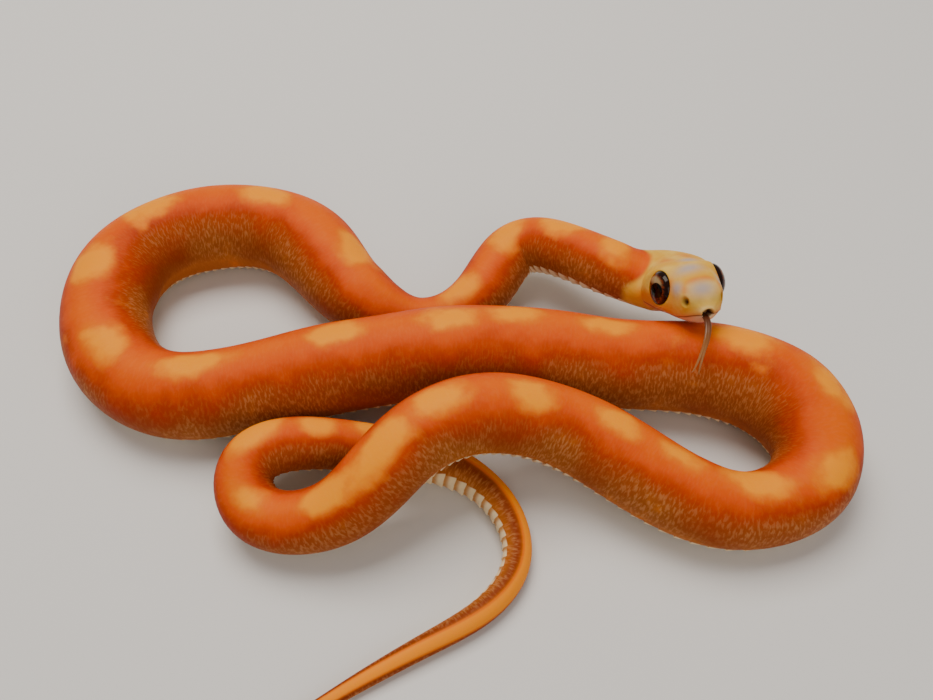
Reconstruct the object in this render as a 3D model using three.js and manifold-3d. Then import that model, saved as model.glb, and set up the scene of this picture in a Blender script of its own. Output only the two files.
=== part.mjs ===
// A young scaleless corn snake at life size, lying in loose bends with its head raised over its own back.
// Millimetres, +Z up, the floor at z = 0, and the origin at the middle of the animal's box on the floor.
// The body is one section carried along a route from between the eyes to the tip of the tail.
// Places along it are given in mm behind the eyes, so the snout is at negative places.
import * as THREE from "three";
import { mergeVertices } from "three/addons/utils/BufferGeometryUtils.js";
import Module from "manifold-3d";

const wasm = await Module();
wasm.setup();

// The middle of the animal's box in the frame in which the route was measured.
const MIDDLE = { x: -2.9, y: 52.9 };

// Control points of the route, each x, y and how far the belly is lifted off the floor there.
const ROUTE = [
  [23.7, 64.6, 8.1],
  [23.2, 67, 6.7],
  [21.8, 69, 5.1],
  [18.4, 69.8, 4.6],
  [15, 71.5, 4.8],
  [11.5, 74.3, 4],
  [8.2, 76.8, 2.8],
  [4.7, 76.2, 1.7],
  [2.3, 70.4, 0.5],
  [-2.8, 66.6, 0],
  [-8.8, 67, 0],
  [-14.6, 70.7, 0],
  [-18.9, 78.5, 0],
  [-27.5, 81.7, 0],
  [-39.2, 78.2, 0],
  [-42.4, 68.9, 0],
  [-38.8, 58.5, 0],
  [-31, 54.2, 0],
  [-21.5, 56.6, 0.3],
  [-12.5, 58.2, 1.4],
  [-3, 59.5, 2],
  [6.5, 60.5, 1],
  [16, 59, 0],
  [25.6, 59.3, 0],
  [35.4, 55.2, 0],
  [36.8, 44.9, 0],
  [26.6, 40.6, 0],
  [18.5, 44.8, 0.5],
  [11, 50, 2.6],
  [1.5, 50.6, 5.8],
  [-6, 46.5, 6.4],
  [-11.5, 40.2, 1.4],
  [-21.6, 40.6, 0],
  [-22.9, 46.9, 3.3],
  [-17, 49.2, 2.7],
  [-10, 49.6, 0.5],
  [-2.5, 48.6, 0],
  [3.4, 45, 0],
  [5.9, 38.3, 0],
  [2.5, 32.9, 0],
  [-3.3, 29.9, 0],
  [-9.6, 26.4, 0],
  [-15.2, 22.9, 0],
  [-20.5, 20.2, 0],
];

// Radius of the body, as [mm behind the eyes, radius].
const GIRTH = [
  [0, 3.45],
  [6, 3.2],
  [14, 3.25],
  [28, 3.4],
  [39, 2.9],
  [48, 4.4],
  [58, 5.15],
  [70, 5.2],
  [80, 5.15],
  [92, 5],
  [101, 4.7],
  [110, 4.8],
  [122, 5],
  [146, 5.1],
  [157, 5],
  [165, 5.3],
  [171, 5.3],
  [176, 5],
  [181, 4.35],
  [188, 3.85],
  [196, 4.25],
  [205, 4.35],
  [214, 4.15],
  [226, 3.9],
  [243, 3.1],
  [256, 2.8],
  [268, 2.5],
  [276, 1.85],
  [284, 1.45],
  [294, 1.15],
  [303, 0.85],
  [309, 0.6],
  [313, 0.4],
  [316, 0.2],
];

// How far the back is rolled over to the snake's right, as [mm behind the eyes, degrees].
const ROLL = [
  [0, 0],
  [8, -2],
  [15, -14],
  [27, -12],
  [38, 0],
  [95, 0],
  [118, 12],
  [159, 14],
  [176, 4],
  [190, -12],
  [209, -20],
  [226, -12],
  [240, 0],
  [252, 12],
  [262, 22],
  [272, 52],
  [283, 58],
  [293, 35],
  [305, 6],
  [320, 0],
];

// The head's form, as [mm behind the eyes, half width, top above the axis, throat below the axis].
const HEAD_FORM = [
  [-4.9, 1.85, 0.9, 2.25],
  [-4.2, 2.1, 1.45, 2.6],
  [-3.2, 2.45, 2.0, 2.9],
  [-1.8, 2.85, 2.6, 3.2],
  [0, 3.25, 2.85, 3.4],
  [2.4, 3.75, 2.65, 3.45],
  [5.0, 4.05, 2.3, 3.3],
  [7.2, 3.8, 2.05, 3.1],
  [9.6, 3.4, 2.45, 3.05],
  [12, 3.34, 3.3, 3.0],
];

// The closed lips' height below the axis, as [mm behind the eyes, mm].
const MOUTH_LINE = [
  [-6.5, 1.4],
  [-4.9, 1.5],
  [-3.4, 1.95],
  [-1.5, 2.4],
  [0, 2.5],
  [1.5, 2.45],
  [3, 2.2],
  [4.8, 1.75],
];

const SNOUT_TIP = -5.1;
const SNOUT_ROUNDING = 1.9;
const SNOUT_BLUNTNESS = 2.5;
const HEAD_END = 9.4;
const MOUTH_CORNER = 4.8;
const HEAD_SQUARENESS = 2.25;
const LIP_HEIGHT = 0.14;
const LIP_SPREAD = 0.34;
// The temples' swelling, in mm, with its place behind the eyes and its reach, and its angle from the back.
const TEMPLES = { height: 0.24, behind: 2.6, reach: 2.4, from: 50, spread: 26 };
const GAP = 0.3;
const LENGTH_GAP = 0.36;
// Larger than the jaw on all sides, and the steps that follow the curved line of the lips.
const JAW_SPACE = { halfWidth: 4.45, depth: 4.4, steps: 16 };

// Each eye is a flattened ball that looks out to its side, a little ahead and up.
const EYE_RADIUS = 1.85;
const EYE_HALF_DEPTH = 1.15;
const EYE_OUT = 2.9;
const EYE_UP = 0.35;
const EYE_LOOKS_AHEAD = 8;
const EYE_LOOKS_UP = 6;
const EYE_SIDES = 24;

const NOSTRIL = { ahead: 3.95, out: 1.8, up: -0.15, radius: 0.36, sides: 10 };

// The tongue's middle line as [mm ahead of the eyes, mm to the snake's right, mm above the axis].
const TONGUE_PATH = [
  [3.1, 0.15, -1.7],
  [4.7, 0.15, -1.65],
  [6.1, 0.4, -2],
  [7.2, 1, -3.1],
  [7.7, 1.7, -4.2],
];
const TONGUE_RADIUS = 0.33;
const TONGUE_STEPS = 14;
const TONGUE_SIDES = 8;
const TINE_SIDES = 6;
const FORK_LENGTH = 2.6;
const FORK_SPREAD = 0.4;

// Where the body is parted, in mm behind the eyes, and the names of its lengths.
const LENGTHS = [
  ["neck", 9.4, 32],
  ["body_1", 32, 54],
  ["body_2", 54, 78],
  ["body_3", 78, 104],
  ["body_4", 104, 132],
  ["body_5", 132, 158],
  ["body_6", 158, 182],
  ["body_7", 182, 207],
  ["body_8", 207, 232],
  ["body_9", 232, 257],
  ["tail_base", 257, 283],
  ["tail_tip", 283, Infinity],
];

const BELLY_FLAT = 0.9;
const BODY_SIDES = 16;
const HEAD_SIDES = 40;
const SNOUT_RINGS = 9;
const SKULL_RINGS = 18;
const SCUTE_PITCH = 2.6;
const SCUTE_STEP = 0.22;
const SCUTE_REAR_EDGE = 0.86;
const SCUTE_BAND = { from: 118, to: 150 };
const ROUTE_SAMPLES = 2400;

const SKIN = { color: 0xd9561a, roughness: 0.45, metalness: 0 };
const HEAD_SKIN = { color: 0xe2a94a, roughness: 0.42, metalness: 0 };
const EYE = { color: 0x3a1409, roughness: 0.08, metalness: 0 };
const TONGUE = { color: 0x6b3a26, roughness: 0.4, metalness: 0 };

const UP = new THREE.Vector3(0, 0, 1);

// A smooth curve through [place, value] pairs that never overshoots them.
function smooth(pairs, place) {
  const last = pairs.length - 1;
  if (place <= pairs[0][0]) return pairs[0][1];
  if (place >= pairs[last][0]) return pairs[last][1];
  const slopes = pairs.slice(1).map((pair, i) => (pair[1] - pairs[i][1]) / (pair[0] - pairs[i][0]));
  const bends = pairs.map((pair, i) => {
    if (i === 0) return slopes[0];
    if (i === last) return slopes[last - 1];
    const product = slopes[i - 1] * slopes[i];
    return product <= 0 ? 0 : (2 * product) / (slopes[i - 1] + slopes[i]);
  });
  const i = pairs.findIndex((pair) => pair[0] > place) - 1;
  const step = pairs[i + 1][0] - pairs[i][0];
  const t = (place - pairs[i][0]) / step;
  const start = pairs[i][1] * (2 * t ** 3 - 3 * t ** 2 + 1) + bends[i] * step * (t ** 3 - 2 * t ** 2 + t);
  const end = pairs[i + 1][1] * (3 * t ** 2 - 2 * t ** 3) + bends[i + 1] * step * (t ** 3 - t ** 2);
  return start + end;
}

// The same for one column of a table whose first column is the place.
const column = (table, index) => table.map((row) => [row[0], row[index]]);
const HEAD_WIDTH = column(HEAD_FORM, 1);
const HEAD_TOP = column(HEAD_FORM, 2);
const HEAD_THROAT = column(HEAD_FORM, 3);

// A uniform cubic B-spline that starts and ends on its first and last control points.
function splinePoint(controls, fraction) {
  const segments = controls.length + 1;
  const along = Math.min(fraction, 1 - 1e-9) * segments;
  const first = Math.floor(along);
  const t = along - first;
  const weights = [(1 - t) ** 3, 3 * t ** 3 - 6 * t ** 2 + 4, -3 * t ** 3 + 3 * t ** 2 + 3 * t + 1, t ** 3];
  const point = [0, 0, 0];
  weights.forEach((weight, k) => {
    const index = Math.min(Math.max(first + k - 2, 0), controls.length - 1);
    point.forEach((_, axis) => (point[axis] += (weight * controls[index][axis]) / 6));
  });
  return point;
}

// The middle line of the body, with its height worked out from the lift and the radius at each place.
function middleLine() {
  const plan = Array.from({ length: ROUTE_SAMPLES + 1 }, (_, i) => splinePoint(ROUTE, i / ROUTE_SAMPLES));
  let places = plan.map(() => 0);
  let points = [];
  for (let pass = 0; pass < 4; pass++) {
    points = plan.map(([x, y, lift], i) => {
      const height = lift + BELLY_FLAT * smooth(GIRTH, places[i]);
      return new THREE.Vector3(x - MIDDLE.x, y - MIDDLE.y, height);
    });
    places = [0];
    for (let i = 1; i < points.length; i++) {
      places.push(places[i - 1] + points[i].distanceTo(points[i - 1]));
    }
  }
  return { points, places };
}

const LINE = middleLine();
const BODY_END = LINE.places[ROUTE_SAMPLES];

// The point on the middle line, and straight on from it ahead of the eyes.
function pointAt(place) {
  if (place <= 0) {
    const back = new THREE.Vector3().subVectors(LINE.points[4], LINE.points[0]).normalize();
    return LINE.points[0].clone().addScaledVector(back, place);
  }
  const target = Math.min(place, BODY_END);
  let low = 0;
  let high = ROUTE_SAMPLES;
  while (high - low > 1) {
    const middle = (low + high) >> 1;
    if (LINE.places[middle] <= target) low = middle;
    else high = middle;
  }
  const t = (target - LINE.places[low]) / (LINE.places[high] - LINE.places[low]);
  return LINE.points[low].clone().lerp(LINE.points[high], t);
}

// The frame at a place: its point, the way ahead, the snake's right and its back.
function frameAt(place) {
  const step = 0.4;
  const behind = Math.min(place + step, BODY_END);
  const ahead = new THREE.Vector3().subVectors(pointAt(behind - 2 * step), pointAt(behind)).normalize();
  const flatRight = new THREE.Vector3().crossVectors(ahead, UP).normalize();
  const flatBack = new THREE.Vector3().crossVectors(flatRight, ahead);
  const roll = THREE.MathUtils.degToRad(smooth(ROLL, place));
  const right = flatRight.clone().multiplyScalar(Math.cos(roll)).addScaledVector(flatBack, -Math.sin(roll));
  const back = flatBack.clone().multiplyScalar(Math.cos(roll)).addScaledVector(flatRight, Math.sin(roll));
  return { point: pointAt(place), ahead, right, back };
}

// A place in a frame, from how far it is to the right and to the back of the middle line.
function put(frame, right, back) {
  return frame.point.clone().addScaledVector(frame.right, right).addScaledVector(frame.back, back);
}

const power = (value, exponent) => Math.sign(value) * Math.abs(value) ** exponent;

// One ring of the body: a circle with a flat belly, inset under the front edge of each scute.
function bodyRing(place, inset) {
  const frame = frameAt(place);
  const radius = smooth(GIRTH, place);
  return Array.from({ length: BODY_SIDES }, (_, k) => {
    const degrees = (360 * k) / BODY_SIDES;
    const angle = THREE.MathUtils.degToRad(degrees);
    const fromBack = degrees > 180 ? 360 - degrees : degrees;
    const band = THREE.MathUtils.smoothstep(fromBack, SCUTE_BAND.from, SCUTE_BAND.to);
    const depth = inset * SCUTE_STEP * Math.min(1, radius / 2) * band;
    const right = (radius - depth) * Math.sin(angle);
    const back = Math.max(radius * Math.cos(angle), -BELLY_FLAT * radius) + depth;
    const point = put(frame, right, back);
    point.z = Math.max(point.z, depth);
    return point;
  });
}

// The temples swell out over the jaw muscles, between the crown and the cheeks.
function templeSwell(place, fromBack) {
  const { height, behind, reach, from, spread } = TEMPLES;
  const along = ((place - behind) / reach) ** 2;
  const round = ((THREE.MathUtils.radToDeg(fromBack) - from) / spread) ** 2;
  return height * Math.exp(-along - round);
}

// One ring of the head: rounded squares that close in on the tip of the snout, with a lip along the mouth.
function headRing(place) {
  const frame = frameAt(place);
  const toTip = Math.max(0, 1 - (place - SNOUT_TIP) / SNOUT_ROUNDING);
  const closing = (1 - Math.min(1, toTip) ** SNOUT_BLUNTNESS) ** (1 / SNOUT_BLUNTNESS);
  const halfWidth = smooth(HEAD_WIDTH, place) * closing;
  const top = smooth(HEAD_TOP, place);
  const throat = smooth(HEAD_THROAT, place);
  const mouth = smooth(MOUTH_LINE, place);
  const lipFade = 1 - THREE.MathUtils.smoothstep(place, MOUTH_CORNER - 1, MOUTH_CORNER + 1);
  const neckward = THREE.MathUtils.smoothstep(place, MOUTH_CORNER, HEAD_END);
  const exponent = 2 / THREE.MathUtils.lerp(HEAD_SQUARENESS, 2, neckward);
  return Array.from({ length: HEAD_SIDES }, (_, k) => {
    const angle = (2 * Math.PI * k) / HEAD_SIDES;
    const tall = Math.cos(angle) > 0 ? top : throat;
    const high = tall * power(Math.cos(angle), exponent);
    const back = -mouth + (high + mouth) * closing;
    const lip = lipFade * LIP_HEIGHT * Math.exp(-(((back + mouth) / LIP_SPREAD) ** 2));
    const right = (halfWidth + lip * closing) * power(Math.sin(angle), exponent);
    const swell = templeSwell(place, Math.acos(Math.cos(angle)));
    return put(frame, right + swell * Math.sin(angle), back + swell * Math.cos(angle));
  });
}

// A closed solid through rings of points, with a fan over each end.
function loft(rings) {
  const sides = rings[0].length;
  const positions = rings.flat().flatMap((point) => point.toArray());
  const faces = [];
  for (let i = 0; i + 1 < rings.length; i++) {
    for (let k = 0; k < sides; k++) {
      const next = (k + 1) % sides;
      const a = i * sides + k;
      const b = i * sides + next;
      const c = (i + 1) * sides + next;
      const d = (i + 1) * sides + k;
      faces.push(a, d, b, b, d, c);
    }
  }
  for (const [ring, turned] of [[0, false], [rings.length - 1, true]]) {
    const centre = rings[ring].reduce((sum, point) => sum.add(point), new THREE.Vector3());
    centre.divideScalar(sides);
    const hub = positions.length / 3;
    positions.push(...centre.toArray());
    for (let k = 0; k < sides; k++) {
      const a = ring * sides + k;
      const b = ring * sides + ((k + 1) % sides);
      faces.push(hub, turned ? b : a, turned ? a : b);
    }
  }
  const geometry = new THREE.BufferGeometry();
  geometry.setAttribute("position", new THREE.Float32BufferAttribute(positions, 3));
  geometry.setIndex(faces);
  return geometry;
}

function solid(geometry) {
  const bare = geometry.clone();
  bare.deleteAttribute("normal");
  bare.deleteAttribute("uv");
  const merged = mergeVertices(bare, 1e-4);
  return new wasm.Manifold(
    new wasm.Mesh({
      numProp: 3,
      vertProperties: merged.attributes.position.array,
      triVerts: new Uint32Array(merged.index.array),
    }),
  );
}

// The geometry of a solid's largest closed surface.
function largest(body) {
  const bySize = body.decompose().sort((a, b) => b.volume() - a.volume());
  const mesh = bySize[0].getMesh();
  const geometry = new THREE.BufferGeometry();
  geometry.setAttribute("position", new THREE.Float32BufferAttribute(mesh.vertProperties, 3));
  geometry.setIndex(new THREE.Uint32BufferAttribute(mesh.triVerts, 1));
  return geometry;
}

function piece(name, geometry, finish) {
  const mesh = new THREE.Mesh(geometry, new THREE.MeshStandardMaterial(finish));
  mesh.name = name;
  return mesh;
}

function ball(centre, radius, sides) {
  const geometry = new THREE.SphereGeometry(radius, sides, sides / 2);
  geometry.translate(centre.x, centre.y, centre.z);
  return geometry;
}

// A tube along points, its radius given at each, with a fan over both ends.
function tube(points, radii, sides) {
  const rings = points.map((point, i) => {
    const before = points[Math.max(i - 1, 0)];
    const after = points[Math.min(i + 1, points.length - 1)];
    const along = new THREE.Vector3().subVectors(before, after).normalize();
    const across = new THREE.Vector3().crossVectors(along, UP).normalize();
    const over = new THREE.Vector3().crossVectors(across, along);
    return Array.from({ length: sides }, (_, k) => {
      const angle = (2 * Math.PI * k) / sides;
      return point
        .clone()
        .addScaledVector(across, radii[i] * Math.sin(angle))
        .addScaledVector(over, radii[i] * Math.cos(angle));
    });
  });
  return loft(rings);
}

const eyesFrame = frameAt(0);

// A place in the head, in mm ahead of the eyes, to the snake's right and above the axis.
function inHead(ahead, right, up) {
  return put(eyesFrame, right, up).addScaledVector(eyesFrame.ahead, ahead);
}

const SIDES = { right: 1, left: -1 };

// A flattened ball in its socket, its axis turned ahead and up from straight out to the side.
function eyeBall(side, extra) {
  const ahead = THREE.MathUtils.degToRad(EYE_LOOKS_AHEAD);
  const up = THREE.MathUtils.degToRad(EYE_LOOKS_UP);
  const looks = eyesFrame.right.clone().multiplyScalar(side * Math.cos(ahead) * Math.cos(up));
  looks.addScaledVector(eyesFrame.ahead, Math.sin(ahead) * Math.cos(up));
  looks.addScaledVector(eyesFrame.back, Math.sin(up));
  const geometry = new THREE.SphereGeometry(1, EYE_SIDES, EYE_SIDES / 2);
  geometry.scale(EYE_RADIUS + extra, EYE_HALF_DEPTH + extra, EYE_RADIUS + extra);
  geometry.applyQuaternion(new THREE.Quaternion().setFromUnitVectors(new THREE.Vector3(0, 1, 0), looks));
  const centre = inHead(0, side * EYE_OUT, EYE_UP);
  return geometry.translate(centre.x, centre.y, centre.z);
}

// The space of the lower jaw: all that is below the closed lips, back to the corner of the mouth.
function jawSpace(shrink) {
  const { halfWidth, depth, steps } = JAW_SPACE;
  const end = MOUTH_CORNER - 2 * shrink;
  const rings = Array.from({ length: steps + 1 }, (_, i) => {
    const place = THREE.MathUtils.lerp(SNOUT_TIP - 1, end, i / steps);
    const frame = frameAt(place);
    const upper = -smooth(MOUTH_LINE, place) - shrink;
    return [
      put(frame, -halfWidth, upper),
      put(frame, halfWidth, upper),
      put(frame, halfWidth, -depth),
      put(frame, -halfWidth, -depth),
    ];
  });
  return solid(loft(rings));
}

// The tongue's middle line, its root set back by the given amount.
function tongueLine(setBack) {
  const curve = new THREE.CatmullRomCurve3(TONGUE_PATH.map((place) => inHead(...place)));
  const points = curve.getPoints(TONGUE_STEPS);
  points[0].addScaledVector(eyesFrame.ahead, -setBack);
  return points;
}

// The tongue hangs from the notch in the upper lip and ends in two fine tines.
function tongueSolid(extra) {
  const stem = tongueLine(extra);
  const whole = solid(tube(stem, stem.map(() => TONGUE_RADIUS + extra), TONGUE_SIDES));
  const root = stem[stem.length - 3];
  const tip = stem[stem.length - 1];
  const along = new THREE.Vector3().subVectors(tip, root).normalize();
  return Object.values(SIDES).reduce((joined, side) => {
    const places = [0, 0.35, 0.7, 1];
    const points = places.map((t) =>
      root
        .clone()
        .addScaledVector(along, t * (FORK_LENGTH + root.distanceTo(tip)))
        .addScaledVector(eyesFrame.right, side * FORK_SPREAD * t ** 1.5),
    );
    const radii = places.map((t) => (TONGUE_RADIUS + extra) * (0.8 - 0.5 * t));
    return joined.add(solid(tube(points, radii, TINE_SIDES)));
  }, whole);
}

// The whole head, then its sockets, nostrils and the way out for the tongue.
function headSolid() {
  const stations = [];
  for (let i = 0; i <= SNOUT_RINGS; i++) {
    const crowded = (i / SNOUT_RINGS) ** 1.8;
    stations.push(THREE.MathUtils.lerp(SNOUT_TIP + 0.02, SNOUT_TIP + SNOUT_ROUNDING, crowded));
  }
  for (let i = 1; i <= SKULL_RINGS; i++) {
    stations.push(THREE.MathUtils.lerp(SNOUT_TIP + SNOUT_ROUNDING, HEAD_END - LENGTH_GAP / 2, i / SKULL_RINGS));
  }
  let body = solid(loft(stations.map(headRing)));
  for (const side of Object.values(SIDES)) {
    body = body.subtract(solid(eyeBall(side, GAP)));
    const nostril = inHead(NOSTRIL.ahead, side * NOSTRIL.out, NOSTRIL.up);
    body = body.subtract(solid(ball(nostril, NOSTRIL.radius, NOSTRIL.sides)));
  }
  return body.subtract(tongueSolid(GAP));
}

// One length of the body, two rings to a scute: inset at the front edge, proud at the rear.
function lengthSolid(start, end) {
  const scutes = Math.round((end - start) / SCUTE_PITCH);
  const pitch = (end - start) / scutes;
  const rings = [];
  for (let i = 0; i < scutes; i++) {
    rings.push(bodyRing(start + i * pitch, 1));
    rings.push(bodyRing(start + (i + SCUTE_REAR_EDGE) * pitch, 0));
  }
  rings.push(bodyRing(end, 0));
  return loft(rings);
}

const snake = new THREE.Group();
const wholeHead = headSolid();
snake.add(piece("head", largest(wholeHead.subtract(jawSpace(0))), HEAD_SKIN));
snake.add(piece("lower_jaw", largest(wholeHead.intersect(jawSpace(GAP))), HEAD_SKIN));
for (const [name, side] of Object.entries(SIDES)) {
  snake.add(piece("eye_" + name, eyeBall(side, 0), EYE));
}
snake.add(piece("tongue", largest(tongueSolid(0)), TONGUE));
for (const [name, from, to] of LENGTHS) {
  const end = Math.min(to - LENGTH_GAP / 2, BODY_END);
  snake.add(piece(name, lengthSolid(from + LENGTH_GAP / 2, end), SKIN));
}

export default snake;
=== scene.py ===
# %% [markdown]
# # A young scaleless corn snake
# A life-size model of a snake a few months old, lying in loose bends with its head raised over its own back.
# The skin of a scaleless snake is bare: only the plates under its belly are left, so colour and fine
# wrinkles do most of the work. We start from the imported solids, which fix the size and the pose.

# %% Load the fixed frame
import math

import bpy
import numpy as np
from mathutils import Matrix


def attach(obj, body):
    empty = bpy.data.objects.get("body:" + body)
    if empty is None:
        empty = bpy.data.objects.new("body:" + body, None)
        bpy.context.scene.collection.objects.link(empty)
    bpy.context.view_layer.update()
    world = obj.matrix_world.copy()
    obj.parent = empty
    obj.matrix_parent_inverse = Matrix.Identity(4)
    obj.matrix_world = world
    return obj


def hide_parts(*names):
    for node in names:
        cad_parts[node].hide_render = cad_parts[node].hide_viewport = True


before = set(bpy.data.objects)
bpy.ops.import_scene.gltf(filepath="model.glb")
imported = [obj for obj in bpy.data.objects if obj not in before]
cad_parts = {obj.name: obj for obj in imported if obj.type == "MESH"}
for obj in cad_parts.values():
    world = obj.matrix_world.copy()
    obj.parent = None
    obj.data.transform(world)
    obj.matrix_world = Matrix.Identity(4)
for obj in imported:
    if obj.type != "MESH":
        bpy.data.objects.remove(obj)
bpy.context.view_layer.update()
print("solids:", sorted(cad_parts))

# %% [markdown]
# ## The camera
# A close photograph from above: the camera stands a hand's breadth over the floor and looks down steeply.
# A wide lens that close gives strong perspective, so its true place matters more than its angle of view.

# %% Camera
MM = 0.001
FLOOR_MIDDLE = np.array([-2.9, 52.9])  # the model's origin, seen from under the camera, in mm
CAMERA_HEIGHT = 83.0
CAMERA_TILT = 52.0  # below the horizon, in degrees
SENSOR_WIDTH = 36.0
FOCAL_LENGTH = 34.73

camera_data = bpy.data.cameras.new("photo_camera")
camera_data.sensor_width = SENSOR_WIDTH
camera_data.lens = FOCAL_LENGTH
camera_data.clip_start = 0.005
camera = bpy.data.objects.new("photo_camera", camera_data)
camera.location = (-FLOOR_MIDDLE[0] * MM, -FLOOR_MIDDLE[1] * MM, CAMERA_HEIGHT * MM)
camera.rotation_euler = (math.radians(90 - CAMERA_TILT), 0, 0)
bpy.context.scene.collection.objects.link(camera)
bpy.context.scene.camera = camera
print("camera at", tuple(round(c, 4) for c in camera.location), "m")

# %% [markdown]
# ## The route of the body
# A snake is one long tube, so its pose is a curve. We could sculpt it, but a curve given by a few listed
# points is easier to correct. Each point says where the body passes and how far its belly is
# lifted off the floor there. The height of the middle line then follows from the girth.

# %% Route, girth and roll
ROUTE = np.array([
    # x, y and the belly's lift in mm, from the eyes to the tail's tip; the camera stands over 0, 0
    [23.7, 64.6, 8.1], [23.2, 67, 6.7], [21.8, 69, 5.1], [18.4, 69.8, 4.6], [15, 71.5, 4.8],
    [11.5, 74.3, 4], [8.2, 76.8, 2.8], [4.7, 76.2, 1.7], [2.3, 70.4, 0.5], [-2.8, 66.6, 0], [-8.8, 67, 0],
    [-14.6, 70.7, 0], [-18.9, 78.5, 0], [-27.5, 81.7, 0], [-39.2, 78.2, 0], [-42.4, 68.9, 0],
    [-38.8, 58.5, 0], [-31, 54.2, 0], [-21.5, 56.6, 0.3], [-12.5, 58.2, 1.4], [-3, 59.5, 2],
    [6.5, 60.5, 1], [16, 59, 0], [25.6, 59.3, 0], [35.4, 55.2, 0], [36.8, 44.9, 0], [26.6, 40.6, 0],
    [18.5, 44.8, 0.5], [11, 50, 2.6], [1.5, 50.6, 5.8], [-6, 46.5, 6.4], [-11.5, 40.2, 1.4],
    [-21.6, 40.6, 0], [-22.9, 46.9, 3.3], [-17, 49.2, 2.7], [-10, 49.6, 0.5], [-2.5, 48.6, 0],
    [3.4, 45, 0], [5.9, 38.3, 0], [2.5, 32.9, 0], [-3.3, 29.9, 0], [-9.6, 26.4, 0], [-15.2, 22.9, 0],
    [-20.5, 20.2, 0],
])
# Places are in mm behind the eyes, radii in mm, and the roll of the back to the snake's right in degrees.
GIRTH = [
    [0, 3.45], [6, 3.2], [14, 3.25], [28, 3.4], [39, 2.9], [48, 4.4], [58, 5.15], [70, 5.2], [80, 5.15],
    [92, 5], [101, 4.7], [110, 4.8], [122, 5], [146, 5.1], [157, 5], [165, 5.3], [171, 5.3], [176, 5],
    [181, 4.35], [188, 3.85], [196, 4.25], [205, 4.35], [214, 4.15], [226, 3.9], [243, 3.1], [256, 2.8],
    [268, 2.5], [276, 1.85], [284, 1.45], [294, 1.15], [303, 0.85], [309, 0.6], [313, 0.4], [316, 0.2],
]
ROLL = [
    [0, 0], [8, -2], [15, -14], [27, -12], [38, 0], [95, 0], [118, 12], [159, 14], [176, 4], [190, -12],
    [209, -20], [226, -12], [240, 0], [252, 12], [262, 22], [272, 52], [283, 58], [293, 35], [305, 6],
    [320, 0],
]
BELLY_FLAT = 0.9  # depth of the flat belly below the middle line, in radii
ROUTE_SAMPLES = 2400
SETTLING_PASSES = 4  # rounds in which the girth and the length walked settle against each other
CHORD_HALF = 0.4  # mm, half the chord that gives the body's way


def smooth(pairs, place):
    """A curve through [place, value] pairs: between two pairs a cubic, whose slope at each pair is the
    harmonic mean of the slopes on both sides, or nothing at a peak, so that it never overshoots."""
    x, y = np.array(pairs, float).T
    step = np.diff(x)
    slope = np.diff(y) / step
    bend = np.zeros_like(y)
    bend[0], bend[-1] = slope[0], slope[-1]
    product = slope[1:] * slope[:-1]
    total = np.where(product > 0, slope[1:] + slope[:-1], 1)
    bend[1:-1] = np.where(product > 0, 2 * product / total, 0)
    place = np.clip(place, x[0], x[-1])
    i = np.clip(np.searchsorted(x, place, side="right") - 1, 0, len(step) - 1)
    t = (place - x[i]) / step[i]
    start = y[i] * (2 * t**3 - 3 * t**2 + 1) + bend[i] * step[i] * (t**3 - 2 * t**2 + t)
    end = y[i + 1] * (3 * t**2 - 2 * t**3) + bend[i + 1] * step[i] * (t**3 - t**2)
    return start + end


def spline(controls, fraction):
    """A uniform cubic B-spline with its end points tripled: each point is the weighted mean of four
    neighbouring controls, with the four cubic blending weights."""
    along = np.clip(fraction, 0, 1 - 1e-9) * (len(controls) + 1)
    first = np.floor(along).astype(int)
    t = (along - first)[:, None]
    weights = [(1 - t) ** 3, 3 * t**3 - 6 * t**2 + 4, -3 * t**3 + 3 * t**2 + 3 * t + 1, t**3]
    picks = [controls[np.clip(first + k - 2, 0, len(controls) - 1)] for k in range(4)]
    return sum(w * p for w, p in zip(weights, picks)) / 6


def middle_line():
    """Points of the middle line and their places: the plan is the spline, the height is the lift plus the
    flat belly's depth, and the place is the length walked. A few passes settle girth against length."""
    plan = spline(ROUTE, np.linspace(0, 1, ROUTE_SAMPLES + 1))
    places = np.zeros(ROUTE_SAMPLES + 1)
    for _ in range(SETTLING_PASSES):
        height = plan[:, 2] + BELLY_FLAT * smooth(GIRTH, places)
        points = np.column_stack([plan[:, :2] - FLOOR_MIDDLE, height])
        places = np.r_[0, np.cumsum(np.linalg.norm(np.diff(points, axis=0), axis=1))]
    return points, places


def unit(vectors):
    return vectors / np.linalg.norm(vectors, axis=-1, keepdims=True)


LINE, PLACES = middle_line()
BODY_END = PLACES[-1]
AHEAD_OF_EYES = unit(LINE[0] - LINE[4])


def point_at(place):
    """The point on the middle line, and straight on from it ahead of the eyes."""
    on_line = np.stack([np.interp(place, PLACES, LINE[:, k]) for k in range(3)], -1)
    return on_line - np.minimum(place, 0)[..., None] * AHEAD_OF_EYES


def frames(place):
    """Point, way ahead, right and back at each place: ahead is a short chord of the middle line, right is
    level, back is square to both, and the last two are turned by the roll."""
    behind = np.minimum(place + CHORD_HALF, BODY_END)
    ahead = unit(point_at(behind - 2 * CHORD_HALF) - point_at(behind))
    right = unit(np.cross(ahead, [0, 0, 1.0]))
    back = np.cross(right, ahead)
    roll = np.radians(smooth(ROLL, place))[..., None]
    rolled_right = right * np.cos(roll) - back * np.sin(roll)
    rolled_back = back * np.cos(roll) + right * np.sin(roll)
    return point_at(place), ahead, rolled_right, rolled_back


print("body length behind the eyes:", round(float(BODY_END), 1), "mm")

# %% [markdown]
# ## The head's form
# The skull is a rounded box that narrows to a blunt snout. It can be given by three profiles, its half width,
# its top and its throat, and by a superellipse that makes each section squarer than a circle.
# The closed lips run round it at a height that is a profile of its own.

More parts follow.
